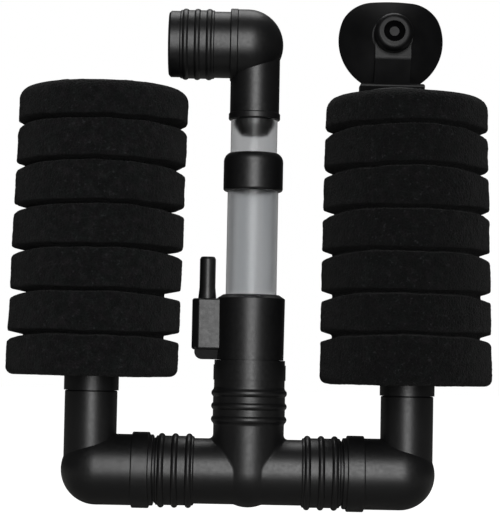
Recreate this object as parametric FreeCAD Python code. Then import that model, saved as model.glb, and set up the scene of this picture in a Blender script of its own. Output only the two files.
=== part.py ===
"""Air-driven twin sponge filter for an aquarium. Millimetres, +Z up.

X = 0, Y = 0 is the axis of the base tee's upright, Z = 0 is the floor under the base pipes,
and +Y is the back, where the suction cup meets the glass.
"""
import FreeCAD, Part
import math
import os

V = FreeCAD.Vector
X_AXIS = V(1, 0, 0)
Y_AXIS = V(0, 1, 0)
Z_AXIS = V(0, 0, 1)

# Clearances
RUN = 0.05            # radial, where a piece turns or slides in another
FREE = 0.3            # everywhere else between bodies that move apart
OVERLAP = 0.5         # how far fused features sink into each other

# Base: a tee with two elbows pushed over its level arms
ARM_X = 57.2          # sponge axes, left and right of the upright
COLLAR_R = 13.7       # elbow collars, which stand on the floor
AXIS_Z = COLLAR_R     # level pipe axis
TEE_ARM_R = 11.8
TEE_BORE_R = 9.0
TEE_RIB_R = 13.4
TEE_RIB_X = (21.3, 26.3, 31.2)
TEE_STEP_X = 33.6     # from here on the arm is the thinner spigot inside the elbow
TEE_SPIGOT_R = 11.2
TEE_END_X = 48.0
UPRIGHT_R = 12.8
UPRIGHT_BORE_R = 10.5
UPRIGHT_RIB_R = 13.7
UPRIGHT_RIB_Z = (32.5, 37.3, 42.0)
UPRIGHT_BAND = (13.05, 31.4, 43.1)  # the ribs stand on bands a little thicker than the pipe
ARM_BAND = (12.5, 19.4, 33.2)
UPRIGHT_COLLAR = (13.1, 46.7, 52.2)
UPRIGHT_TOP = 53.9
TEE_FILLET = 1.6      # where the upright meets the arms
ARM_RIB_WIDTH = 4.6
RIB_WIDTH = 4.2       # on the upright and the outlet
MOULD_EDGE = 0.5      # rounding of moulded rims

ELBOW_R = 12.8
ELBOW_MOUTH_X = 34.0
COLLAR_X = (35.5, 41.8)
ELBOW_CORNER_X = 54.7
ELBOW_BORE_R = 8.6
NECK_R = 9.5          # the elbow's upward arm
NECK_BORE_R = 6.7
NECK_TOP = 42.0
SPIGOT_R = 8.3
SPIGOT_TOP = 57.0

# Strainers, which carry the sponges
CORE_R = 9.9
CORE_BOTTOM = NECK_TOP + 0.1
CORE_TOP = 148.0
CORE_CAP = 2.0
SOCKET_R = 4.05
SOCKET_DEPTH = 12.0
SOCKET_WALL = 1.6
SLOT_WIDTH = 2.4
SLOT_HEIGHT = 9.0
SLOT_PITCH = 12.0
SLOT_FIRST_Z = 60.0
SLOT_ROWS = 7
SLOT_COLUMNS = 8

# Sponges. Cut foam is uneven: the right one is a little smaller, and pushed further down its strainer.
# Each is (outer radius, bottom, top, height of the lowest groove, groove pitch).
LEFT_SPONGE = (30.9, 47.3, 151.3, 61.6, 15.2)
RIGHT_SPONGE = (30.3, 46.0, 150.1, 63.4, 14.8)
SPONGE_BORE_R = CORE_R + FREE
GROOVES = 6
GROOVE_OPEN = 4.0     # height at the surface
GROOVE_FLOOR = 1.6    # height at the bottom
GROOVE_DEPTH = 4.5
SPONGE_EDGE = 2.5

# Air-inlet sleeve, with the box that takes the airline nipple
SLEEVE_BOTTOM = 54.0
SLEEVE_TOP = 77.6
SLEEVE_SHOULDER_Z = 76.2
SLEEVE_R_LOW = 12.2
SLEEVE_R_HIGH = 12.4
SLEEVE_MOUTH_R = 10.2
SLEEVE_SPIGOT_BOTTOM = 38.0
SLEEVE_BORE_R = 8.2
TUBE_SEAT_Z = 62.0
BOX_LEFT = -21.2
BOX_RIGHT = -9.0
BOX_DEPTH = 10.0
BOX_TOP = 76.0
BOX_BEVEL = 2.4
BOX_EDGE = 0.9
BOX_FOOT_TOP = 57.5
BOX_FOOT_IN = 1.1     # how far the foot stands back from the box's left side
BOX_FOOT_EDGE = 2.6
BOX_FOOT_HALF = (4.3, 2.6)  # half its depth at the top and the bottom
CHAMBER_R = 2.6
CHAMBER_BOTTOM = 56.6
NIPPLE_X = -15.9
NIPPLE_TOP = 91.2
NIPPLE_R = 2.9
NIPPLE_BASE_R = 3.3
NIPPLE_BASE_TOP = 80.0
NIPPLE_PLUG_R = 2.5
NIPPLE_PLUG_Z = 71.0
NIPPLE_BORE_R = 1.3
JET_Z = 58.8
JET_R = 1.9
JET_BORE_R = 1.0
JET_TOP = 68.0

# Riser: two clear tubes that telescope through a coupling
LOWER_R = 9.25
UPPER_R = 8.5
LOWER_BORE_R = UPPER_R + RUN
LOWER_TOP = 127.0
UPPER_BORE_R = 7.5
UPPER_BOTTOM = 79.0
UPPER_TOP = 141.2
COUPLING_R = 10.85
COUPLING_BOTTOM = 115.3
COUPLING_TOP = 129.1
COUPLING_SHOULDER_Z = 125.7
COUPLING_MOUTH_R = 9.2
COUPLING_EDGE = 1.0

# Outlet elbow
OUT_Z = 169.1
OUT_R = 12.1
OUT_MOUTH_X = -31.7
OUT_BORE_R = 9.6
OUT_BORE_END = -9.0
OUT_RIB_R = 13.0
OUT_RIB_X = (-25.6, -21.3, -17.0)
OUT_BAND = (12.5, -27.6, -15.0)
OUT_RIDGE = (13.3, -9.3, -6.4)
OUT_CORNER_X = -3.0
OUT_CORNER_R = 13.1
OUT_CORNER_BORE_R = 8.6
OUT_ARM_R = 9.0
OUT_ARM_BORE_R = 6.1
OUT_BEAD_R = 9.4
OUT_BEAD = (141.5, 144.0)
OUT_SPIGOT_TIP = 136.0
OUT_SPIGOT_TIP_R = 5.1
OUT_SPIGOT_BORE_R = 4.2
OUT_SPIGOT_STRAIGHT = 2.0
OUT_MOUTH_CHAMFER = 0.8

# Suction cup and its holder. The holder is turned a little on its strainer, and the cup leans back.
HOLDER_YAW = 1.3      # degrees about the right sponge's axis
CUP_LEAN = 5.0        # degrees
CUP_X = -4.5          # centre of the cup's lip, left of the sponge axis,
CUP_Y = 34.0          # behind it
CUP_Z = 177.8         # and above the floor
CUP_R = 20.1
CUP_FLAT = 14.4       # the flat stretch of the lip, above its centre
CUP_FLAT_CORNER = 12.0
CUP_TRIM = 0.1        # how far the prism that cuts the flat stretch stands outside the round lip
CUP_RIM = 1.0
CUP_LIP = 1.6
CUP_HOLLOW = 3.2
CUP_SHOULDER_R = 7.8
CUP_SHOULDER = 8.4
CUP_NECK_R = 5.0
CUP_HEAD_R = 7.4
CUP_HEAD = 11.2
CUP_TIP = 15.8
CUP_HOLE_R = 4.1
CUP_HOLE_DEPTH = 2.4
CUP_HOLE_FLOOR_R = 3.0
CUP_PIP_R = 1.8
CUP_PIP_BELOW = 0.7   # the pip in the hole ends that far below the head's face
CUP_HEAD_EDGE = 2.2
DRUM_R = 10.6
DRUM_BOTTOM = RIGHT_SPONGE[2] + FREE
DRUM_TOP = 152.8
PLUG_R = 4.0
PLUG_BOTTOM = CORE_TOP - SOCKET_DEPTH + 1.0
WALL_WIDTH = 24.5     # upright wall that carries the tab
WALL_Y = (22.0, 30.0)
WALL_FOOT_Y = 26.6    # its front slopes back towards its foot
WALL_TOP = 160.0
WALL_EDGE = 1.0
TAB_WIDTH = 13.6
TAB_GAP = 0.25
TAB_HEAD = 3.0        # how far its prongs reach above the cup's axis
TAB_BEND = 8.5        # how far below that axis the tab bends back, along the cup's cone
CONE_GAP = 1.1        # outside the cup's cone, along its radius
STEM_RISE = 2.7       # thickness of the bent part, along the cup's axis
STEM_EDGE = 2.6       # rounding of the bend in front


def cylinder(radius, low, high, centre=(0, 0)):
    """An upright solid cylinder."""
    return Part.makeCylinder(radius, high - low, V(centre[0], centre[1], low))


def level(radius, start, end, z, y=0.0):
    """A solid cylinder along X."""
    low, high = sorted((start, end))
    return Part.makeCylinder(radius, high - low, V(low, y, z), X_AXIS)


def block(low, high):
    """A box between two corners."""
    size = [b - a for a, b in zip(low, high)]
    return Part.makeBox(size[0], size[1], size[2], V(*low))


def turned(points):
    """A solid turned about Z from a closed outline of (radius, height) points."""
    outline = [V(r, 0, z) for r, z in points]
    face = Part.Face(Part.makePolygon(outline + outline[:1]))
    return face.revolve(V(0, 0, 0), Z_AXIS, 360)


def rimmed(radius, low, high, edge=MOULD_EDGE, centre=(0, 0)):
    """An upright cylinder with both rims rounded."""
    shape = cylinder(radius, low, high)
    rims = edges_at(shape, low, radius) + edges_at(shape, high, radius)
    shape = shape.makeFillet(edge, rims)
    shape.translate(V(centre[0], centre[1], 0))
    return shape


def ribbed_pipe(radius, low, high, rib_r, rib_places, rib_width):
    """A solid pipe about Z. Its ribs swell softly: each is a hollow, a crown and a hollow."""
    half = rib_width / 2
    rise = rib_r - radius
    bend = (half ** 2 + rise ** 2) / (4 * rise)
    sweep = math.asin(half / 2 / bend) / 2
    hollow_r = radius + bend * (1 - math.cos(sweep))
    hollow_z = half - bend * math.sin(sweep)
    last = V(radius, 0, low)
    outline = [Part.makeLine(V(0, 0, low), last)]
    for z in sorted(rib_places):
        foot, shoulder = V(radius, 0, z - half), V(radius + rise / 2, 0, z - half / 2)
        far_foot, far_shoulder = V(radius, 0, z + half), V(radius + rise / 2, 0, z + half / 2)
        outline.append(Part.makeLine(last, foot))
        outline.append(Part.Arc(foot, V(hollow_r, 0, z - hollow_z), shoulder).toShape())
        outline.append(Part.Arc(shoulder, V(rib_r, 0, z), far_shoulder).toShape())
        outline.append(Part.Arc(far_shoulder, V(hollow_r, 0, z + hollow_z), far_foot).toShape())
        last = far_foot
    end = V(radius, 0, high)
    outline.append(Part.makeLine(last, end))
    outline.append(Part.makeLine(end, V(0, 0, high)))
    outline.append(Part.makeLine(V(0, 0, high), V(0, 0, low)))
    return Part.Face(Part.Wire(outline)).revolve(V(0, 0, 0), Z_AXIS, 360)


def laid_along_x(shape, z, y=0.0):
    """Lays an upright shape along +X, at height z."""
    shape.rotate(V(0, 0, 0), Y_AXIS, 90)
    shape.translate(V(0, y, z))
    return shape


def fused(shapes):
    """One solid out of overlapping shapes, without seams between equal faces."""
    return shapes[0].fuse(list(shapes[1:])).removeSplitter()


def mirrored(shape):
    return shape.mirror(V(0, 0, 0), X_AXIS)


def edges_at(shape, z, radius):
    """The round edges of an upright shape at one height and radius."""
    found = []
    for edge in shape.Edges:
        if edge.Degenerated:
            continue
        box = edge.BoundBox
        if abs(box.ZMin - z) < 1e-3 and abs(box.ZMax - z) < 1e-3 and abs(box.XMax - radius) < 1e-3:
            found.append(edge)
    return found


# ---- base -----------------------------------------------------------------------------------

def tee_outside():
    """The ribbed level pipe and upright, with a ball under the upright, blended into each other."""
    arm_ribs = [side * x for side in (-1, 1) for x in TEE_RIB_X]
    arms = ribbed_pipe(TEE_ARM_R, -TEE_STEP_X, TEE_STEP_X, TEE_RIB_R, arm_ribs, ARM_RIB_WIDTH)
    whole = fused([
        laid_along_x(arms, AXIS_Z),
        ribbed_pipe(UPRIGHT_R, AXIS_Z, UPRIGHT_TOP, UPRIGHT_RIB_R, UPRIGHT_RIB_Z, RIB_WIDTH),
        Part.makeSphere(UPRIGHT_R, V(0, 0, AXIS_Z)),
    ])
    top_of_arms = AXIS_Z + TEE_ARM_R
    seams = []
    for edge in whole.Edges:
        if edge.Degenerated:
            continue
        box = edge.BoundBox
        near_axis = max(abs(box.XMin), abs(box.XMax)) < UPRIGHT_R + 0.1
        round_the_arm = box.YLength > TEE_ARM_R - 0.1 and box.XLength < UPRIGHT_R / 1.5
        if near_axis and round_the_arm and box.ZMax < top_of_arms + 0.1:
            seams.append(edge)
    return whole.makeFillet(TEE_FILLET, seams)


def tee_body():
    body = fused([
        tee_outside(),
        level(TEE_SPIGOT_R, -TEE_END_X, TEE_END_X, AXIS_Z),
        laid_along_x(rimmed(*ARM_BAND), AXIS_Z),
        mirrored(laid_along_x(rimmed(*ARM_BAND), AXIS_Z)),
        cylinder(*UPRIGHT_BAND),
        cylinder(*UPRIGHT_COLLAR),
    ])
    bores = [
        level(TEE_BORE_R, -TEE_END_X - 1, TEE_END_X + 1, AXIS_Z),
        cylinder(UPRIGHT_BORE_R, SLEEVE_SPIGOT_BOTTOM - 2, UPRIGHT_TOP + 1),
        cylinder(TEE_BORE_R, AXIS_Z, SLEEVE_SPIGOT_BOTTOM),
    ]
    return body.cut(bores)


def right_elbow():
    collar_low, collar_high = COLLAR_X
    barrel = cylinder(ELBOW_R, ELBOW_MOUTH_X, ELBOW_CORNER_X)
    barrel = barrel.makeFillet(MOULD_EDGE, edges_at(barrel, ELBOW_MOUTH_X, ELBOW_R))
    outside = fused([
        laid_along_x(barrel, AXIS_Z),
        laid_along_x(rimmed(COLLAR_R, collar_low, collar_high), AXIS_Z),
        Part.makeSphere(ELBOW_R, V(ELBOW_CORNER_X, 0, AXIS_Z)),
        rimmed(NECK_R, AXIS_Z, NECK_TOP, MOULD_EDGE, (ARM_X, 0)),
        cylinder(SPIGOT_R, NECK_TOP - OVERLAP, SPIGOT_TOP, (ARM_X, 0)),
    ])
    bores = [
        level(TEE_SPIGOT_R + RUN, ELBOW_MOUTH_X - 1, TEE_END_X + FREE, AXIS_Z),
        level(ELBOW_BORE_R, TEE_END_X, ELBOW_CORNER_X, AXIS_Z),
        Part.makeSphere(ELBOW_BORE_R, V(ELBOW_CORNER_X, 0, AXIS_Z)),
        cylinder(NECK_BORE_R, AXIS_Z, SPIGOT_TOP + 1, (ARM_X, 0)),
    ]
    return outside.cut(bores)


# ---- strainers and sponges ------------------------------------------------------------------

def strainer():
    """A slotted tube, closed at the top round a blind socket. On the Z axis."""
    wall_inner = SPIGOT_R + RUN
    socket_bottom = CORE_TOP - SOCKET_DEPTH
    tube = cylinder(CORE_R, CORE_BOTTOM, CORE_TOP)
    tube = tube.cut(cylinder(wall_inner, CORE_BOTTOM - 1, CORE_TOP - CORE_CAP))
    cup = cylinder(SOCKET_R + SOCKET_WALL, socket_bottom - CORE_CAP, CORE_TOP - OVERLAP)
    tube = fused([tube, cup])
    tube = tube.cut(cylinder(SOCKET_R, socket_bottom, CORE_TOP + 1))
    slots = []
    for row in range(SLOT_ROWS):
        low = SLOT_FIRST_Z + row * SLOT_PITCH
        for column in range(SLOT_COLUMNS // 2):
            slot = block((-CORE_R - 1, -SLOT_WIDTH / 2, low),
                         (CORE_R + 1, SLOT_WIDTH / 2, low + SLOT_HEIGHT))
            slot = slot.cut(cylinder(SOCKET_R + SOCKET_WALL + 1, low - 1, low + SLOT_HEIGHT + 1))
            slot.rotate(V(0, 0, 0), Z_AXIS, (column + 0.5) * 360 / SLOT_COLUMNS)
            slots.append(slot)
    return tube.cut(slots)


def sponge(radius, bottom, top, first_groove, pitch):
    """A foam cylinder with grooves round it. On the Z axis."""
    outline = [
        (SPONGE_BORE_R, bottom),
        (radius - SPONGE_EDGE, bottom),
        (radius, bottom + SPONGE_EDGE),
    ]
    for groove in range(GROOVES):
        z = first_groove + groove * pitch
        outline += [
            (radius, z - GROOVE_OPEN / 2),
            (radius - GROOVE_DEPTH, z - GROOVE_FLOOR / 2),
            (radius - GROOVE_DEPTH, z + GROOVE_FLOOR / 2),
            (radius, z + GROOVE_OPEN / 2),
        ]
    outline += [
        (radius, top - SPONGE_EDGE),
        (radius - SPONGE_EDGE, top),
        (SPONGE_BORE_R, top),
    ]
    return turned(outline)


# ---- air inlet ------------------------------------------------------------------------------

def inlet_box():
    """The box on the sleeve's left, bevelled at its corners, on a narrowing foot with a round corner."""
    half = BOX_DEPTH / 2
    plan = [
        (BOX_RIGHT, -half),
        (BOX_LEFT + BOX_BEVEL, -half),
        (BOX_LEFT, -half + BOX_BEVEL),
        (BOX_LEFT, half - BOX_BEVEL),
        (BOX_LEFT + BOX_BEVEL, half),
        (BOX_RIGHT, half),
    ]
    points = [V(x, y, BOX_FOOT_TOP) for x, y in plan]
    box = Part.Face(Part.makePolygon(points + points[:1])).extrude(V(0, 0, BOX_TOP - BOX_FOOT_TOP))
    box = box.makeFillet(BOX_EDGE, box.Edges)
    upper_half, lower_half = BOX_FOOT_HALF
    foot_top = BOX_FOOT_TOP + BOX_EDGE
    foot_left = BOX_LEFT + BOX_FOOT_IN
    section = [
        V(foot_left, -upper_half, foot_top),
        V(foot_left, -lower_half, SLEEVE_BOTTOM),
        V(foot_left, lower_half, SLEEVE_BOTTOM),
        V(foot_left, upper_half, foot_top),
    ]
    foot = Part.Face(Part.makePolygon(section + section[:1])).extrude(V(BOX_RIGHT - foot_left, 0, 0))
    corner = []
    for edge in foot.Edges:
        if edge.BoundBox.XMax < foot_left + 0.1 and edge.BoundBox.ZMax < SLEEVE_BOTTOM + 0.1:
            corner.append(edge)
    return box.fuse(foot.makeFillet(BOX_FOOT_EDGE, corner))


def air_inlet_sleeve():
    skirt = turned([
        (0, SLEEVE_BOTTOM),
        (SLEEVE_R_LOW, SLEEVE_BOTTOM),
        (SLEEVE_R_HIGH, SLEEVE_SHOULDER_Z),
        (SLEEVE_MOUTH_R, SLEEVE_TOP),
        (0, SLEEVE_TOP),
    ])
    skirt = skirt.makeFillet(MOULD_EDGE, edges_at(skirt, SLEEVE_SHOULDER_Z, SLEEVE_R_HIGH))
    spigot = cylinder(UPRIGHT_BORE_R - RUN, SLEEVE_SPIGOT_BOTTOM, SLEEVE_BOTTOM + OVERLAP)
    sleeve = fused([skirt, spigot, inlet_box()])
    cuts = [
        cylinder(SLEEVE_BORE_R, SLEEVE_SPIGOT_BOTTOM - 1, SLEEVE_TOP + 1),
        cylinder(LOWER_R, TUBE_SEAT_Z, SLEEVE_TOP + 1),
        cylinder(CHAMBER_R, CHAMBER_BOTTOM, NIPPLE_PLUG_Z + 0.2, (NIPPLE_X, 0)),
        cylinder(NIPPLE_PLUG_R, NIPPLE_PLUG_Z, BOX_TOP + 1, (NIPPLE_X, 0)),
        level(JET_R, NIPPLE_X, 0, JET_Z),
    ]
    return sleeve.cut(cuts)


def air_nipple():
    nipple = turned([
        (NIPPLE_BORE_R, NIPPLE_PLUG_Z),
        (NIPPLE_PLUG_R, NIPPLE_PLUG_Z),
        (NIPPLE_PLUG_R, BOX_TOP),
        (NIPPLE_BASE_R, BOX_TOP),
        (NIPPLE_R, NIPPLE_BASE_TOP),
        (NIPPLE_R, NIPPLE_TOP - 0.9),
        (NIPPLE_R - 0.5, NIPPLE_TOP),
        (NIPPLE_BORE_R, NIPPLE_TOP),
    ])
    nipple.translate(V(NIPPLE_X, 0, 0))
    return nipple


def air_jet():
    """A bent tube from the box to the middle of the riser, where it lets the air out upward."""
    start = NIPPLE_X + CHAMBER_R
    outside = fused([
        level(JET_R, start, 0, JET_Z),
        Part.makeSphere(JET_R, V(0, 0, JET_Z)),
        cylinder(JET_R, JET_Z, JET_TOP),
    ])
    bores = [
        level(JET_BORE_R, start - 1, 0, JET_Z),
        Part.makeSphere(JET_BORE_R, V(0, 0, JET_Z)),
        cylinder(JET_BORE_R, JET_Z, JET_TOP + 1),
    ]
    return outside.cut(bores)


# ---- riser and outlet -----------------------------------------------------------------------

def clear_tube(radius, bore_r, low, high):
    return cylinder(radius, low, high).cut(cylinder(bore_r, low - 1, high + 1))


def tube_coupling():
    """A ring on the lower tube's end, rounded over at the top, which guides the upper tube."""
    shoulder = V(COUPLING_R, 0, COUPLING_SHOULDER_Z)
    mouth = V(COUPLING_MOUTH_R, 0, COUPLING_TOP)
    bulge = V((COUPLING_R * 2 + COUPLING_MOUTH_R) / 3, 0, (COUPLING_SHOULDER_Z + COUPLING_TOP * 2) / 3)
    outline = [
        Part.makeLine(V(0, 0, COUPLING_BOTTOM), V(COUPLING_R, 0, COUPLING_BOTTOM)),
        Part.makeLine(V(COUPLING_R, 0, COUPLING_BOTTOM), shoulder),
        Part.Arc(shoulder, bulge, mouth).toShape(),
        Part.makeLine(mouth, V(0, 0, COUPLING_TOP)),
        Part.makeLine(V(0, 0, COUPLING_TOP), V(0, 0, COUPLING_BOTTOM)),
    ]
    ring = Part.Face(Part.Wire(outline)).revolve(V(0, 0, 0), Z_AXIS, 360)
    ring = ring.makeFillet(COUPLING_EDGE, edges_at(ring, COUPLING_BOTTOM, COUPLING_R))
    return ring.cut([
        cylinder(LOWER_R, COUPLING_BOTTOM - 1, LOWER_TOP),
        cylinder(UPPER_R + RUN, LOWER_TOP - 1, COUPLING_TOP + 1),
    ])


def outlet_elbow():
    ridge_r, ridge_low, ridge_high = OUT_RIDGE
    bead_low, bead_high = OUT_BEAD
    barrel = ribbed_pipe(OUT_R, OUT_MOUTH_X, OUT_CORNER_X, OUT_RIB_R, OUT_RIB_X, RIB_WIDTH)
    barrel = barrel.makeChamfer(OUT_MOUTH_CHAMFER, edges_at(barrel, OUT_MOUTH_X, OUT_R))
    outside = [
        laid_along_x(barrel, OUT_Z),
        level(OUT_CORNER_R, ridge_high, OUT_CORNER_X, OUT_Z),
        Part.makeSphere(OUT_CORNER_R, V(OUT_CORNER_X, 0, OUT_Z)),
        cylinder(OUT_ARM_R, bead_low, OUT_Z),
        laid_along_x(rimmed(*OUT_BAND), OUT_Z),
        laid_along_x(rimmed(ridge_r, ridge_low, ridge_high), OUT_Z),
        rimmed(OUT_BEAD_R, bead_low, bead_high),
        turned([
            (0, OUT_SPIGOT_TIP),
            (OUT_SPIGOT_TIP_R, OUT_SPIGOT_TIP),
            (UPPER_BORE_R - RUN, bead_low - OUT_SPIGOT_STRAIGHT),
            (UPPER_BORE_R - RUN, bead_low + OVERLAP),
            (0, bead_low + OVERLAP),
        ]),
    ]
    return fused(outside).cut([
        level(OUT_BORE_R, OUT_MOUTH_X - 1, OUT_BORE_END, OUT_Z),
        level(OUT_CORNER_BORE_R, OUT_BORE_END - 1, OUT_CORNER_X, OUT_Z),
        Part.makeSphere(OUT_CORNER_BORE_R, V(OUT_CORNER_X, 0, OUT_Z)),
        cylinder(OUT_ARM_BORE_R, bead_low, OUT_Z),
        cylinder(OUT_SPIGOT_BORE_R, OUT_SPIGOT_TIP - 1, bead_low + 1),
    ])


# ---- suction cup ----------------------------------------------------------------------------

def on_cup_axis(shape):
    """Puts a shape made about +Z, with the cup's lip at Z = 0, behind the right sponge's axis."""
    shape.rotate(V(0, 0, 0), X_AXIS, 90 - CUP_LEAN)
    shape.translate(V(CUP_X, CUP_Y, CUP_Z))
    return shape


def on_holder(shape):
    """Turns a shape with the holder and moves it from the Z axis to the right sponge's axis."""
    shape.rotate(V(0, 0, 0), Z_AXIS, HOLDER_YAW)
    shape.translate(V(ARM_X, 0, 0))
    return shape


def cup_outline():
    """An upright prism round the cup: round, but for a flat stretch at the top with round corners."""
    large = CUP_R + CUP_TRIM
    corner = CUP_FLAT_CORNER
    # The corner's circle touches the flat stretch and the large circle from inside
    corner_y = CUP_FLAT - corner
    corner_x = math.sqrt((large - corner) ** 2 - corner_y ** 2)
    touch = large / (large - corner)
    touch_x = corner_x * touch
    touch_y = corner_y * touch
    middle = (math.pi / 2 + math.atan2(corner_y, corner_x)) / 2
    bend_x = corner_x + corner * math.cos(middle)
    bend_y = corner_y + corner * math.sin(middle)
    outline = [
        Part.makeLine(V(-corner_x, CUP_FLAT, 0), V(corner_x, CUP_FLAT, 0)),
        Part.Arc(V(corner_x, CUP_FLAT, 0), V(bend_x, bend_y, 0), V(touch_x, touch_y, 0)).toShape(),
        Part.Arc(V(touch_x, touch_y, 0), V(0, -large, 0), V(-touch_x, touch_y, 0)).toShape(),
        Part.Arc(V(-touch_x, touch_y, 0), V(-bend_x, bend_y, 0), V(-corner_x, CUP_FLAT, 0)).toShape(),
    ]
    prism = Part.Face(Part.Wire(outline)).extrude(V(0, 0, CUP_TIP + 2))
    prism.translate(V(0, 0, -1))
    return prism


def suction_cup():
    skirt_mid = V((CUP_R + CUP_SHOULDER_R) / 2 - 0.4, 0, CUP_SHOULDER * 0.62)
    hollow_mid = V(CUP_R * 0.5, 0, CUP_HOLLOW * 0.78)
    lip_in = V(CUP_R - CUP_LIP, 0, 0)
    neck_low = V(CUP_NECK_R, 0, CUP_SHOULDER)
    path = [
        Part.makeLine(lip_in, V(CUP_R, 0, 0)),
        Part.makeLine(V(CUP_R, 0, 0), V(CUP_R, 0, CUP_RIM)),
        Part.Arc(V(CUP_R, 0, CUP_RIM), skirt_mid, V(CUP_SHOULDER_R, 0, CUP_SHOULDER)).toShape(),
        Part.makeLine(V(CUP_SHOULDER_R, 0, CUP_SHOULDER), neck_low),
        Part.makeLine(neck_low, V(CUP_NECK_R, 0, CUP_HEAD)),
        Part.makeLine(V(CUP_NECK_R, 0, CUP_HEAD), V(CUP_HEAD_R, 0, CUP_HEAD)),
        Part.makeLine(V(CUP_HEAD_R, 0, CUP_HEAD), V(CUP_HEAD_R, 0, CUP_TIP)),
        Part.makeLine(V(CUP_HEAD_R, 0, CUP_TIP), V(0, 0, CUP_TIP)),
        Part.makeLine(V(0, 0, CUP_TIP), V(0, 0, CUP_HOLLOW)),
        Part.Arc(V(0, 0, CUP_HOLLOW), hollow_mid, lip_in).toShape(),
    ]
    cup = Part.Face(Part.Wire(path)).revolve(V(0, 0, 0), Z_AXIS, 360)
    cup = cup.makeFillet(CUP_HEAD_EDGE, edges_at(cup, CUP_TIP, CUP_HEAD_R))
    cup = cup.cut(turned([
        (0, CUP_TIP + 1),
        (0, CUP_TIP - CUP_PIP_BELOW),
        (CUP_PIP_R, CUP_TIP - CUP_PIP_BELOW),
        (CUP_HOLE_FLOOR_R, CUP_TIP - CUP_HOLE_DEPTH),
        (CUP_HOLE_R, CUP_TIP),
        (CUP_HOLE_R, CUP_TIP + 1),
    ]))
    return on_holder(on_cup_axis(cup.common(cup_outline())))


def cup_room():
    """The space the cup takes as it turns, with a gap round its cone. In the cup's own position."""
    return turned([
        (0, -CUP_TIP),
        (CUP_R + CONE_GAP, -CUP_TIP),
        (CUP_R + CONE_GAP, CUP_RIM),
        (CUP_SHOULDER_R + CONE_GAP, CUP_SHOULDER),
        (0, CUP_SHOULDER),
    ])


def tab():
    """The forked tab round the cup's neck, which bends back and runs down along the cup's cone."""
    half = TAB_WIDTH / 2
    low = CUP_SHOULDER + TAB_GAP
    high = CUP_HEAD - TAB_GAP
    # A line outside the cup's cone, from the bend to beyond the lip
    slope = (CUP_SHOULDER - CUP_RIM) / (CUP_R - CUP_SHOULDER_R)
    foot = CUP_R + CONE_GAP
    foot_low = low - (foot - TAB_BEND) * slope
    front_bend = TAB_BEND + (low + STEM_RISE - high) / slope
    section = [
        V(-half, -TAB_BEND + OVERLAP, low),
        V(-half, -TAB_BEND, low),
        V(-half, -foot, foot_low),
        V(-half, -foot, foot_low + STEM_RISE),
        V(-half, -front_bend, high),
        V(-half, -TAB_BEND + OVERLAP, high),
    ]
    stem = Part.Face(Part.makePolygon(section + section[:1])).extrude(V(TAB_WIDTH, 0, 0))
    stem = stem.fuse(block((-half, -TAB_BEND, low), (half, TAB_HEAD, high))).removeSplitter()
    bend = []
    for edge in stem.Edges:
        box = edge.BoundBox
        at_bend = abs(box.ZMin - high) < 0.01 and abs(box.YMin + front_bend) < 0.01
        if at_bend and box.XLength > TAB_WIDTH - 0.1:
            bend.append(edge)
    # In the plane across the cup's axis, +Y points up
    whole = fused([stem.makeFillet(STEM_EDGE, bend), cylinder(half, low, high)])
    slot_r = CUP_NECK_R + RUN
    whole = whole.cut([
        cylinder(slot_r, low - 1, high + 1),
        block((-slot_r, 0, low - 1), (slot_r, half + 1, high + 1)),
    ])
    return on_cup_axis(whole)


def suction_cup_holder():
    """A disc on the sponge's top, plugged into the strainer, with a wall and a forked tab for the cup."""
    disc = rimmed(DRUM_R, DRUM_BOTTOM, DRUM_TOP, WALL_EDGE)
    plug = cylinder(PLUG_R, PLUG_BOTTOM, DRUM_BOTTOM + OVERLAP)
    half = WALL_WIDTH / 2
    wall_front, wall_back = WALL_Y
    plate = block((CUP_X - half, 0, DRUM_BOTTOM), (CUP_X + half, wall_back, DRUM_TOP))
    plate_end = rimmed(half, DRUM_BOTTOM, DRUM_TOP, WALL_EDGE, (CUP_X, 0))
    section = [
        V(CUP_X - half, WALL_FOOT_Y, DRUM_BOTTOM),
        V(CUP_X - half, wall_front, WALL_TOP),
        V(CUP_X - half, wall_back, WALL_TOP),
        V(CUP_X - half, wall_back, DRUM_BOTTOM),
    ]
    wall = Part.Face(Part.makePolygon(section + section[:1])).extrude(V(WALL_WIDTH, 0, 0))
    upper_edges = [e for e in wall.Edges if e.BoundBox.ZMin > WALL_TOP - 0.1]
    wall = wall.makeFillet(WALL_EDGE, upper_edges).cut(on_cup_axis(cup_room()))
    return on_holder(fused([disc, plug, plate, plate_end, wall, tab()]))


# ---- the whole filter -----------------------------------------------------------------------

def placed(shape, x):
    shape.translate(V(x, 0, 0))
    return shape


def all_parts():
    elbow = right_elbow()
    return {
        "tee_body": tee_body(),
        "left_elbow": mirrored(elbow),
        "right_elbow": elbow,
        "left_strainer": placed(strainer(), -ARM_X),
        "right_strainer": placed(strainer(), ARM_X),
        "left_sponge": placed(sponge(*LEFT_SPONGE), -ARM_X),
        "right_sponge": placed(sponge(*RIGHT_SPONGE), ARM_X),
        "air_inlet_sleeve": air_inlet_sleeve(),
        "air_nipple": air_nipple(),
        "air_jet": air_jet(),
        "lower_clear_tube": clear_tube(LOWER_R, LOWER_BORE_R, TUBE_SEAT_Z, LOWER_TOP),
        "tube_coupling": tube_coupling(),
        "upper_clear_tube": clear_tube(UPPER_R, UPPER_BORE_R, UPPER_BOTTOM, UPPER_TOP),
        "outlet_elbow": outlet_elbow(),
        "suction_cup_holder": suction_cup_holder(),
        "suction_cup": suction_cup(),
    }


os.makedirs("parts", exist_ok=True)
for name, shape in all_parts().items():
    box = shape.BoundBox
    print(name, shape.isValid(), len(shape.Solids), round(shape.Volume / 1000, 2), "cm3",
          [round(v, 2) for v in (box.XMin, box.XMax, box.YMin, box.YMax, box.ZMin, box.ZMax)])
    shape.exportStep(f"parts/{name}.step")
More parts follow.
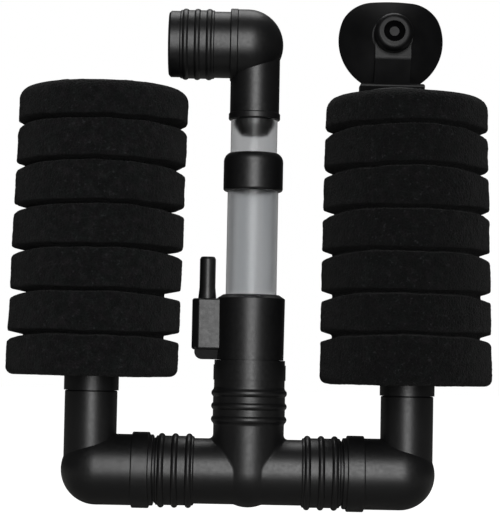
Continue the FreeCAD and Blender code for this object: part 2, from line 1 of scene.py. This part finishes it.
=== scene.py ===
"""Looks of the twin sponge filter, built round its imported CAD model. Metres, +Z up, +Y to the back."""
import math

import bpy
import numpy as np
from mathutils import Matrix, Vector, noise


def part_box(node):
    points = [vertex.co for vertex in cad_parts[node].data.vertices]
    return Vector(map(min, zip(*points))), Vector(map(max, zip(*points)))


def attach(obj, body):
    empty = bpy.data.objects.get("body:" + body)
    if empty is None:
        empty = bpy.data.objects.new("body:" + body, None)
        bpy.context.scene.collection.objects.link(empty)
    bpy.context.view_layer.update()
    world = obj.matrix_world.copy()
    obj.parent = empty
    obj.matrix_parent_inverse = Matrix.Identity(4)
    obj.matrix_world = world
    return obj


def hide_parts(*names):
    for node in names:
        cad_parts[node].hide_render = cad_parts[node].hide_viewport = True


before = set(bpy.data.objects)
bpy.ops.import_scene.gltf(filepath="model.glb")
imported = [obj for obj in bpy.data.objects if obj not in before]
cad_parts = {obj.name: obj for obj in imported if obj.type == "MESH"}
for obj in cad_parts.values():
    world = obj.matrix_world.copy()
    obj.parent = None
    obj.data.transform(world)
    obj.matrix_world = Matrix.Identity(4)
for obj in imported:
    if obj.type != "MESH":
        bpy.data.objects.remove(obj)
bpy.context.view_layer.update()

MM = 0.001

# ---- camera and light, in metres, degrees and watts ----
CAMERA_AT = (-0.0006, -0.650, 0.0495)
CAMERA_PITCH = 3.5       # looking up
CAMERA_ROLL = 1.1
LENS = 122.5             # mm, on a sensor
SENSOR = 36.0            # that many mm along the picture's long side
LIGHT_AIM = (0.0, 0.0, 0.09)
KEY_AT = (0.045, -0.74, 0.24)
KEY_SIZE = (0.34, 0.70)
KEY_POWER = 5.6
FILL_AT = (0.0, 0.36, 1.0)   # above and behind, for the side away from the camera
FILL_SIZE = (0.60, 0.60)
FILL_POWER = 3.0
BACKDROP = 1.0           # what the camera sees behind the object
BACKDROP_THROUGH = 0.37  # what shows through the clear tubes
AMBIENT = 0.05           # what lights the object from all round
FLOOR_FRONT = -0.11
FLOOR_BACK = 4.0
FLOOR_SIDE = 3.0
FLOOR_COLOUR = (0.45, 0.445, 0.43, 1.0)

# A Mix node has several sockets of each name, one for each type, so these are their places
MIX_COLOURS_IN = (6, 7)
MIX_COLOUR_OUT = 2
MIX_NUMBERS_IN = (2, 3)


def new_object(name, data):
    piece = bpy.data.objects.new(name, data)
    bpy.context.scene.collection.objects.link(piece)
    return piece


# ---- node helpers ----

def new_material(name):
    """A material with its Principled shader, ready for nodes."""
    material = bpy.data.materials.new(name)
    material.use_nodes = True
    shader = material.node_tree.nodes["Principled BSDF"]
    return material, material.node_tree, shader


def add(tree, kind, **values):
    """A node with its inputs set by name, and its properties where no input has that name."""
    node = tree.nodes.new(kind)
    for key, value in values.items():
        if key in node.inputs:
            node.inputs[key].default_value = value
        else:
            setattr(node, key, value)
    return node


def object_coordinates(tree):
    return tree.nodes.new("ShaderNodeTexCoord").outputs["Object"]


def noise_of(tree, coordinates, scale, detail=4.0, roughness=0.55):
    """A noise texture, scale in cycles per metre."""
    texture = add(tree, "ShaderNodeTexNoise", Scale=scale, Detail=detail, Roughness=roughness)
    tree.links.new(coordinates, texture.inputs["Vector"])
    return texture.outputs["Fac"]


def ramp(tree, source, stops):
    """A colour ramp with stops of (position, grey or rgb)."""
    node = tree.nodes.new("ShaderNodeValToRGB")
    elements = node.color_ramp.elements
    while len(elements) < len(stops):
        elements.new(0.5)
    for element, (position, colour) in zip(elements, stops):
        rgb = (colour,) * 3 if isinstance(colour, float) else colour
        element.position = position
        element.color = (*rgb, 1.0)
    tree.links.new(source, node.inputs["Fac"])
    return node.outputs["Color"]


def bump(tree, height, depth, strength, below=None):
    """A bump of that depth in metres, on top of another normal if given."""
    node = add(tree, "ShaderNodeBump", Strength=strength, Distance=depth)
    tree.links.new(height, node.inputs["Height"])
    if below is not None:
        tree.links.new(below, node.inputs["Normal"])
    return node.outputs["Normal"]


def blended(tree, how, first, second, share=1.0):
    """One colour with a share of another in it, by MULTIPLY or ADD."""
    node = add(tree, "ShaderNodeMix", data_type="RGBA", blend_type=how, clamp_result=False)
    node.inputs["Factor"].default_value = share
    for colour, place in zip((first, second), MIX_COLOURS_IN):
        tree.links.new(colour, node.inputs[place])
    return node.outputs[MIX_COLOUR_OUT]


# ---- materials ----

def moulded_plastic():
    """Black injection-moulded pipe plastic: satin, faintly uneven, with a fine orange-peel skin."""
    material, tree, shader = new_material("moulded_black_plastic")
    where = object_coordinates(tree)
    patches = noise_of(tree, where, 60.0, 3.0)
    grain = noise_of(tree, where, 900.0, 4.0)
    skin = noise_of(tree, where, 260.0, 2.0)
    colour = ramp(tree, patches, [(0.3, (0.0032, 0.0032, 0.0034)), (0.75, (0.0056, 0.0056, 0.0058))])
    tree.links.new(colour, shader.inputs["Base Color"])
    rough = ramp(tree, grain, [(0.25, 0.34), (0.75, 0.46)])
    tree.links.new(rough, shader.inputs["Roughness"])
    normal = bump(tree, skin, 0.4 * MM, 0.10)
    normal = bump(tree, grain, 0.1 * MM, 0.12, normal)
    tree.links.new(normal, shader.inputs["Normal"])
    shader.inputs["IOR"].default_value = 1.5
    return material


def soft_rubber():
    """Black pliable vinyl of the suction cup and its holder: smooth, a little duller than the pipes."""
    material, tree, shader = new_material("soft_black_vinyl")
    where = object_coordinates(tree)
    patches = noise_of(tree, where, 110.0, 3.0)
    grain = noise_of(tree, where, 1400.0, 3.0)
    colour = ramp(tree, patches, [(0.3, (0.0022, 0.0022, 0.0024)), (0.75, (0.0038, 0.0038, 0.0041))])
    tree.links.new(colour, shader.inputs["Base Color"])
    rough = ramp(tree, patches, [(0.2, 0.36), (0.8, 0.48)])
    tree.links.new(rough, shader.inputs["Roughness"])
    tree.links.new(bump(tree, grain, 0.1 * MM, 0.15), shader.inputs["Normal"])
    shader.inputs["IOR"].default_value = 1.48
    shader.inputs["Specular IOR Level"].default_value = 0.22
    return material


def open_cell_foam(name, paleness):
    """Charcoal open-cell foam: pores darkened with painted shade, struts made paler with painted light,
    faint colour in patches.
    """
    material, tree, shader = new_material(name)
    where = object_coordinates(tree)
    struts_and_pore_shade = foam_struts_and_pore_shade(tree, where)
    blotches = noise_of(tree, where, 330.0, 5.0, 0.72)
    colour = foam_colour(tree, where, paleness, blotches)
    # The strut mask darkens the pores with painted shade and leaves the struts paler as painted light; it
    # also drives the bump
    tree.links.new(blended(tree, "MULTIPLY", colour, struts_and_pore_shade, 0.6), shader.inputs["Base Color"])
    shader.inputs["Roughness"].default_value = 0.95
    shader.inputs["Specular IOR Level"].default_value = 0.12
    shader.inputs["Sheen Weight"].default_value = 0.03
    shader.inputs["Sheen Roughness"].default_value = 0.6
    normal = bump(tree, struts_and_pore_shade, 0.5 * MM, 0.6)
    normal = bump(tree, blotches, 1.2 * MM, 0.35, normal)
    tree.links.new(normal, shader.inputs["Normal"])
    return material


def foam_struts_and_pore_shade(tree, where):
    """Pale along the walls between the foam's cells, which a noise pushes out of true: painted light on the
    struts, and painted shade darkening towards each pore's middle.
    """
    warp = add(tree, "ShaderNodeTexNoise", Scale=520.0, Detail=2.0)
    tree.links.new(where, warp.inputs["Vector"])
    pushed = add(tree, "ShaderNodeVectorMath", operation="MULTIPLY_ADD")
    tree.links.new(warp.outputs["Color"], pushed.inputs[0])
    pushed.inputs[1].default_value = (0.9 * MM, 0.9 * MM, 0.9 * MM)
    tree.links.new(where, pushed.inputs[2])
    cells = add(tree, "ShaderNodeTexVoronoi", Scale=900.0, feature="DISTANCE_TO_EDGE")
    tree.links.new(pushed.outputs["Vector"], cells.inputs["Vector"])
    return ramp(tree, cells.outputs["Distance"], [(0.0, 1.0), (0.22, 0.35)])


def foam_colour(tree, where, paleness, blotches):
    """Three shades in blotches, tinted in patches, with painted glints in specks: some lighter, the
    brightest with colour added.
    """
    shade = ramp(tree, blotches, [(0.30, (0.0026, 0.0029, 0.0031)), (0.50, (0.0064, 0.0068, 0.0071)),
                                  (0.70, (0.0150, 0.0152, 0.0158))])
    tint = noise_of(tree, where, 320.0, 1.0)
    reddish = (paleness * 1.12, paleness * 0.98, paleness * 1.06)
    greenish = (paleness * 0.90, paleness * 1.04, paleness * 0.98)
    hue = ramp(tree, tint, [(0.36, reddish), (0.5, paleness), (0.64, greenish)])
    # Painted glints: specks made lighter in the colour, and the brightest given extra colour on top
    specks = noise_of(tree, where, 900.0, 1.0)
    painted_glints = ramp(tree, specks, [(0.50, 0.82), (0.66, 1.0)])
    painted_sparks = ramp(tree, specks, [(0.64, 0.0), (0.78, (0.012, 0.012, 0.013))])
    tinted = blended(tree, "MULTIPLY", shade, hue)
    return blended(tree, "ADD", blended(tree, "MULTIPLY", tinted, painted_glints), painted_sparks)


def clear_tube_plastic():
    """Slightly frosted clear tube, with faint draw lines along it."""
    material, tree, shader = new_material("clear_riser_plastic")
    drawn_out = add(tree, "ShaderNodeMapping", Scale=(1.0, 1.0, 0.03))
    tree.links.new(object_coordinates(tree), drawn_out.inputs["Vector"])
    lines = noise_of(tree, drawn_out.outputs["Vector"], 900.0, 2.0)
    rough = ramp(tree, lines, [(0.3, 0.28), (0.8, 0.34)])
    tree.links.new(rough, shader.inputs["Roughness"])
    tree.links.new(bump(tree, lines, 0.05 * MM, 0.15), shader.inputs["Normal"])
    streaks = noise_of(tree, drawn_out.outputs["Vector"], 260.0, 2.0)
    colour = ramp(tree, streaks, [(0.40, (0.90, 0.91, 0.92)), (0.60, (0.965, 0.97, 0.975))])
    tree.links.new(colour, shader.inputs["Base Color"])
    shader.inputs["Transmission Weight"].default_value = 1.0
    shader.inputs["Specular IOR Level"].default_value = 0.1
    shader.inputs["IOR"].default_value = 1.22
    return material


def assign(node, material):
    """Gives a CAD node one material all over."""
    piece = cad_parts[node]
    piece.data.materials.clear()
    piece.data.materials.append(material)


# ---- sponges ----

AROUND = 480              # points round a sponge
END_ROWS = 14             # rows across each of its ends
BORE_ROWS = 12            # rows up its bore
BORE_GAP = 0.3 * MM       # between the bore and the strainer
ROW = 0.7 * MM            # between rows on a rib's face
CORNER_STEP = 15          # degrees between points of a rounded end
FOOT_EDGE = 2.8 * MM      # rounding of the foot
GROOVES = 6
RIM = 0.5 * MM            # rounding of a groove's rims
RIM_STEP = 30             # degrees between its points
GROOVE_HALF = 0.9 * MM    # half the groove's opening in front and behind
GROOVE_FLOOR = 0.35 * MM  # half its height at the bottom
GROOVE_STEPS = 6          # points down each of its sides
GROOVE_SPREAD = 1.4 * MM  # how much wider it gapes at the sponge's left and right,
GROOVE_DROP = 1.1 * MM    # and how much lower it runs there
SIDE_POWER = 4            # how fast that fades towards the front and back

# Unevenness of the grooves: size in mm, waves round the sponge, noise from groove to groove, and its start
LONG_RIPPLE = (0.7, 1.4, 7.1, 0.0)
SHORT_RIPPLE = (0.35, 4.0, 3.3, 0.0)
DEPTH_RIPPLE = (0.8, 1.7, 5.3, 9.0)

# Unevenness of the skin: cycles per metre of its lumps, dents and pores, and how far each pushes it
SKIN_SCALES = (55.0, 260.0, 900.0)
SKIN_OF_END = (0.35 * MM, 0.2 * MM, 0.12 * MM)
SKIN_OF_WALL = (0.35 * MM, 0.16 * MM, 0.14 * MM)

# Taper and lean leave the foam where it is up to the first radius, and act in full from the second
STILL_R = 11 * MM
FREE_R = 20 * MM


def foam_cylinder(name, node, strainer, material, shape):
    """The grooved foam round a strainer, with soft irregular ribs."""
    low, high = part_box(node)
    inner_low, inner_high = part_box(strainer)
    centre = (low + high) / 2
    outer_r = (high.x - low.x) / 2
    bore_r = (inner_high.x - inner_low.x) / 2 + BORE_GAP
    height = high.z - low.z
    profile = foam_profile(outer_r, bore_r, height, shape)
    rows = len(profile)
    vertices = np.zeros((rows, AROUND, 3))
    for row, (r, z, kind) in enumerate(profile):
        for step in range(AROUND):
            angle = 2 * math.pi * step / AROUND
            vertices[row, step] = foam_point(r, z, kind, angle, height, shape)
    flat = vertices.reshape(-1, 3) + np.array((centre.x, centre.y, low.z))
    mesh = bpy.data.meshes.new(name)
    mesh.from_pydata([tuple(v) for v in flat], [], ring_faces(rows))
    mesh.polygons.foreach_set("use_smooth", [True] * len(mesh.polygons))
    mesh.materials.append(material)
    mesh.update()
    return new_object(name, mesh)


def ring_faces(rows):
    """Quads between rings of points, each ring joined to the next and the last to the first."""
    faces = []
    for row in range(rows):
        after = (row + 1) % rows
        for step in range(AROUND):
            beside = (step + 1) % AROUND
            faces.append((row * AROUND + step, row * AROUND + beside,
                          after * AROUND + beside, after * AROUND + step))
    return faces


def foam_profile(outer_r, bore_r, height, shape):
    """The foam's closed section as (radius, height, kind), from the bore's foot outward, up, and back."""
    points = across(bore_r, outer_r - FOOT_EDGE, 0.0)
    points += corner(outer_r - FOOT_EDGE, FOOT_EDGE, FOOT_EDGE, -90)
    z = FOOT_EDGE
    for index in range(GROOVES):
        groove = groove_height(index, shape)
        points += wall(outer_r, z, groove - GROOVE_HALF - RIM)
        points += groove_section(outer_r, groove, shape["groove_depth"])
        z = groove + GROOVE_HALF + RIM
    shoulder = shape["shoulder"]
    points += wall(outer_r, z, height - shoulder)
    points += corner(outer_r - shoulder, height - shoulder, shoulder, 0)
    points += across(outer_r - shoulder, bore_r, height)
    points += [(bore_r, height * (1 - step / BORE_ROWS), "bore") for step in range(1, BORE_ROWS)]
    return points


def groove_height(index, shape):
    return shape["first"] + shape["pitch"] * index


def across(start, end, z):
    """Rows over a flat end."""
    return [(start + (end - start) * step / END_ROWS, z, "end") for step in range(END_ROWS)]


def corner(r, z, radius, first_angle):
    """A quarter round about (r, z)."""
    points = []
    for step in range(90 // CORNER_STEP + 1):
        angle = math.radians(first_angle + CORNER_STEP * step)
        points.append((r + radius * math.cos(angle), z + radius * math.sin(angle), "wall"))
    return points


def wall(outer_r, low, high):
    """Rows up a rib's face."""
    count = max(2, round((high - low) / ROW))
    return [(outer_r, low + (high - low) * step / count, "wall") for step in range(1, count)]


def groove_section(outer_r, groove, depth):
    """One groove: rounded rim, sloping side, narrow floor, and out again."""
    lower = []
    for step in range(90 // RIM_STEP + 1):
        angle = math.radians(RIM_STEP * step)
        lower.append((outer_r - RIM * (1 - math.cos(angle)), -GROOVE_HALF - RIM * (1 - math.sin(angle))))
    for step in range(1, GROOVE_STEPS + 1):
        share = step / GROOVE_STEPS
        lower.append((outer_r - RIM - (depth - RIM) * share,
                      -GROOVE_HALF + (GROOVE_HALF - GROOVE_FLOOR) * share))
    middle = (outer_r - depth - GROOVE_FLOOR / 2, groove, "groove")
    points = [(r, groove + dz, "groove") for r, dz in lower]
    points.append(middle)
    points += [(r, groove - dz, "groove") for r, dz in reversed(lower)]
    return points


def foam_point(r, z, kind, angle, height, shape):
    """Where a point of the section ends up at that angle: uneven grooves and skin, taper and lean."""
    x = math.cos(angle)
    y = math.sin(angle)
    if kind == "bore":
        return (r * x, r * y, z)
    if kind == "end":
        z += unevenness(r * x, r * y, z, SKIN_OF_END, shape["seed"])
    else:
        nearest = min(GROOVES - 1, max(0, round((z - shape["first"]) / shape["pitch"])))
        z += groove_shift(x, y, z, nearest, shape)
        if kind == "groove":
            share_in = (shape["radius"] - r) / shape["groove_depth"]
            r -= rippled(DEPTH_RIPPLE, x, y, nearest, shape["seed"], share_in)
        r += unevenness(r * x, r * y, z, SKIN_OF_WALL, shape["seed"])
    share = z / height
    free = clamped((r - STILL_R) / (FREE_R - STILL_R))
    r *= 1 + free * shape["taper"] * (0.5 - share)
    aside = free * (shape["shift"] + shape["lean"] * share * height)
    return (r * x + aside, r * y, z)


def groove_shift(x, y, z, nearest, shape):
    """How far up the nearest groove takes a point along: fully at the groove, fading to the next one."""
    away = z - groove_height(nearest, shape)
    reach = GROOVE_HALF + RIM
    fade = clamped(1 - (abs(away) - reach) / (shape["pitch"] / 2 - reach))
    side = x ** SIDE_POWER
    gape = math.copysign(GROOVE_SPREAD * side * min(1.0, abs(away) / reach), away)
    ripple = rippled(LONG_RIPPLE, x, y, nearest, shape["seed"])
    ripple += rippled(SHORT_RIPPLE, x, y, nearest, -shape["seed"])
    return fade * (gape - GROOVE_DROP * side + ripple)


def rippled(ripple, x, y, nearest, seed, share=1.0):
    """A noise that closes on itself round the sponge, or a share of it."""
    size, waves, apart, start = ripple
    return share * size * MM * noise.noise(Vector((waves * x + start, waves * y, apart * nearest + seed)))


def unevenness(x, y, z, sizes, seed):
    """How far lumps, dents and pores push the skin out at a place."""
    total = 0.0
    for axis, (scale, size) in enumerate(zip(SKIN_SCALES, sizes)):
        start = Vector((0, 0, 0))
        start[axis] = seed
        total += size * noise.noise(Vector((x, y, z)) * scale + start)
    return total


def clamped(value):
    return min(1.0, max(0.0, value))


# ---- stage ----

def backdrop_strength(tree, otherwise):
    """How bright the backdrop is to a ray: white to the camera, dimmer through the tubes, else as given."""
    seen = add(tree, "ShaderNodeLightPath")
    through = add(tree, "ShaderNodeMix", data_type="FLOAT")
    through.inputs[MIX_NUMBERS_IN[0]].default_value = otherwise
    through.inputs[MIX_NUMBERS_IN[1]].default_value = BACKDROP_THROUGH
    tree.links.new(seen.outputs["Is Transmission Ray"], through.inputs["Factor"])
    direct = add(tree, "ShaderNodeMix", data_type="FLOAT")
    direct.inputs[MIX_NUMBERS_IN[1]].default_value = BACKDROP
    tree.links.new(through.outputs["Result"], direct.inputs[MIX_NUMBERS_IN[0]])
    tree.links.new(seen.outputs["Is Camera Ray"], direct.inputs["Factor"])
    return direct.outputs["Result"]


def pale_floor():
    """A pale floor that meets the backdrop without a line."""
    floor = bpy.data.meshes.new("floor")
    corners = [(-FLOOR_SIDE, FLOOR_FRONT, 0), (FLOOR_SIDE, FLOOR_FRONT, 0),
               (FLOOR_SIDE, FLOOR_BACK, 0), (-FLOOR_SIDE, FLOOR_BACK, 0)]
    floor.from_pydata(corners, [], [(0, 1, 2, 3)])
    ground = new_object("floor", floor)
    material, tree, shader = new_material("pale_floor")
    shader.inputs["Base Color"].default_value = FLOOR_COLOUR
    shader.inputs["Roughness"].default_value = 0.9
    glow = add(tree, "ShaderNodeEmission", Color=(1, 1, 1, 1))
    mix = add(tree, "ShaderNodeAddShader")
    tree.links.new(backdrop_strength(tree, 0.0), glow.inputs["Strength"])
    tree.links.new(shader.outputs["BSDF"], mix.inputs[0])
    tree.links.new(glow.outputs["Emission"], mix.inputs[1])
    tree.links.new(mix.outputs["Shader"], tree.nodes["Material Output"].inputs["Surface"])
    floor.materials.append(material)


def white_world():
    world = bpy.data.worlds.new("studio")
    bpy.context.scene.world = world
    world.use_nodes = True
    tree = world.node_tree
    plain = tree.nodes["Background"]
    plain.inputs["Color"].default_value = (1, 1, 1, 1)
    tree.links.new(backdrop_strength(tree, AMBIENT), plain.inputs["Strength"])


def lamp(name, place, size, power):
    """A rectangular light aimed at the middle of the filter."""
    light = bpy.data.lights.new(name, "AREA")
    light.shape = "RECTANGLE"
    light.size, light.size_y = size
    light.energy = power
    piece = new_object(name, light)
    piece.location = place
    aim = Vector(LIGHT_AIM) - piece.location
    piece.rotation_euler = aim.to_track_quat("-Z", "Y").to_euler()


def camera():
    lens = bpy.data.cameras.new("camera")
    lens.lens = LENS
    lens.sensor_width = SENSOR
    eye = new_object("camera", lens)
    pitch = Matrix.Rotation(math.radians(90 + CAMERA_PITCH), 4, "X")
    roll = Matrix.Rotation(math.radians(CAMERA_ROLL), 4, "Z")
    eye.matrix_world = Matrix.Translation(CAMERA_AT) @ pitch @ roll
    bpy.context.scene.camera = eye
    bpy.context.scene.view_settings.view_transform = "Standard"


camera()
pale_floor()
white_world()
lamp("key", KEY_AT, KEY_SIZE, KEY_POWER)
lamp("fill", FILL_AT, FILL_SIZE, FILL_POWER)

MOULDED = ("tee_body", "left_elbow", "right_elbow", "left_strainer", "right_strainer", "air_inlet_sleeve",
           "air_nipple", "air_jet", "tube_coupling", "outlet_elbow")
SOFT = ("suction_cup_holder", "suction_cup")
CLEAR = ("lower_clear_tube", "upper_clear_tube")
for material, nodes in ((moulded_plastic(), MOULDED), (soft_rubber(), SOFT), (clear_tube_plastic(), CLEAR)):
    for node in nodes:
        assign(node, material)

# Heights of the grooves are above each sponge's foot, taper is the share of its radius that it loses from
# foot to top, shift is to the right, and lean is travel to the right per height
LEFT_FOAM = {"radius": 30.9 * MM, "first": 15.1 * MM, "pitch": 15.2 * MM, "shoulder": 4.0 * MM,
             "groove_depth": 5.6 * MM, "shift": -0.15 * MM, "lean": 0.025, "taper": 0.005, "seed": 3.7}
RIGHT_FOAM = {"radius": 30.3 * MM, "first": 18.1 * MM, "pitch": 14.8 * MM, "shoulder": 4.2 * MM,
              "groove_depth": 3.8 * MM, "shift": -0.78 * MM, "lean": -0.008, "taper": 0.058, "seed": 41.9}
left_look = open_cell_foam("charcoal_foam", 0.80)
right_look = open_cell_foam("darker_charcoal_foam", 0.52)
SPONGES = (
    ("left_foam_cylinder", "left_sponge", "left_strainer", "left_foam", left_look, LEFT_FOAM),
    ("right_foam_cylinder", "right_sponge", "right_strainer", "right_foam", right_look, RIGHT_FOAM),
)
for name, node, strainer, body, look, shape in SPONGES:
    piece = foam_cylinder(name, node, strainer, look, shape)
    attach(piece, body)
    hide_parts(node)
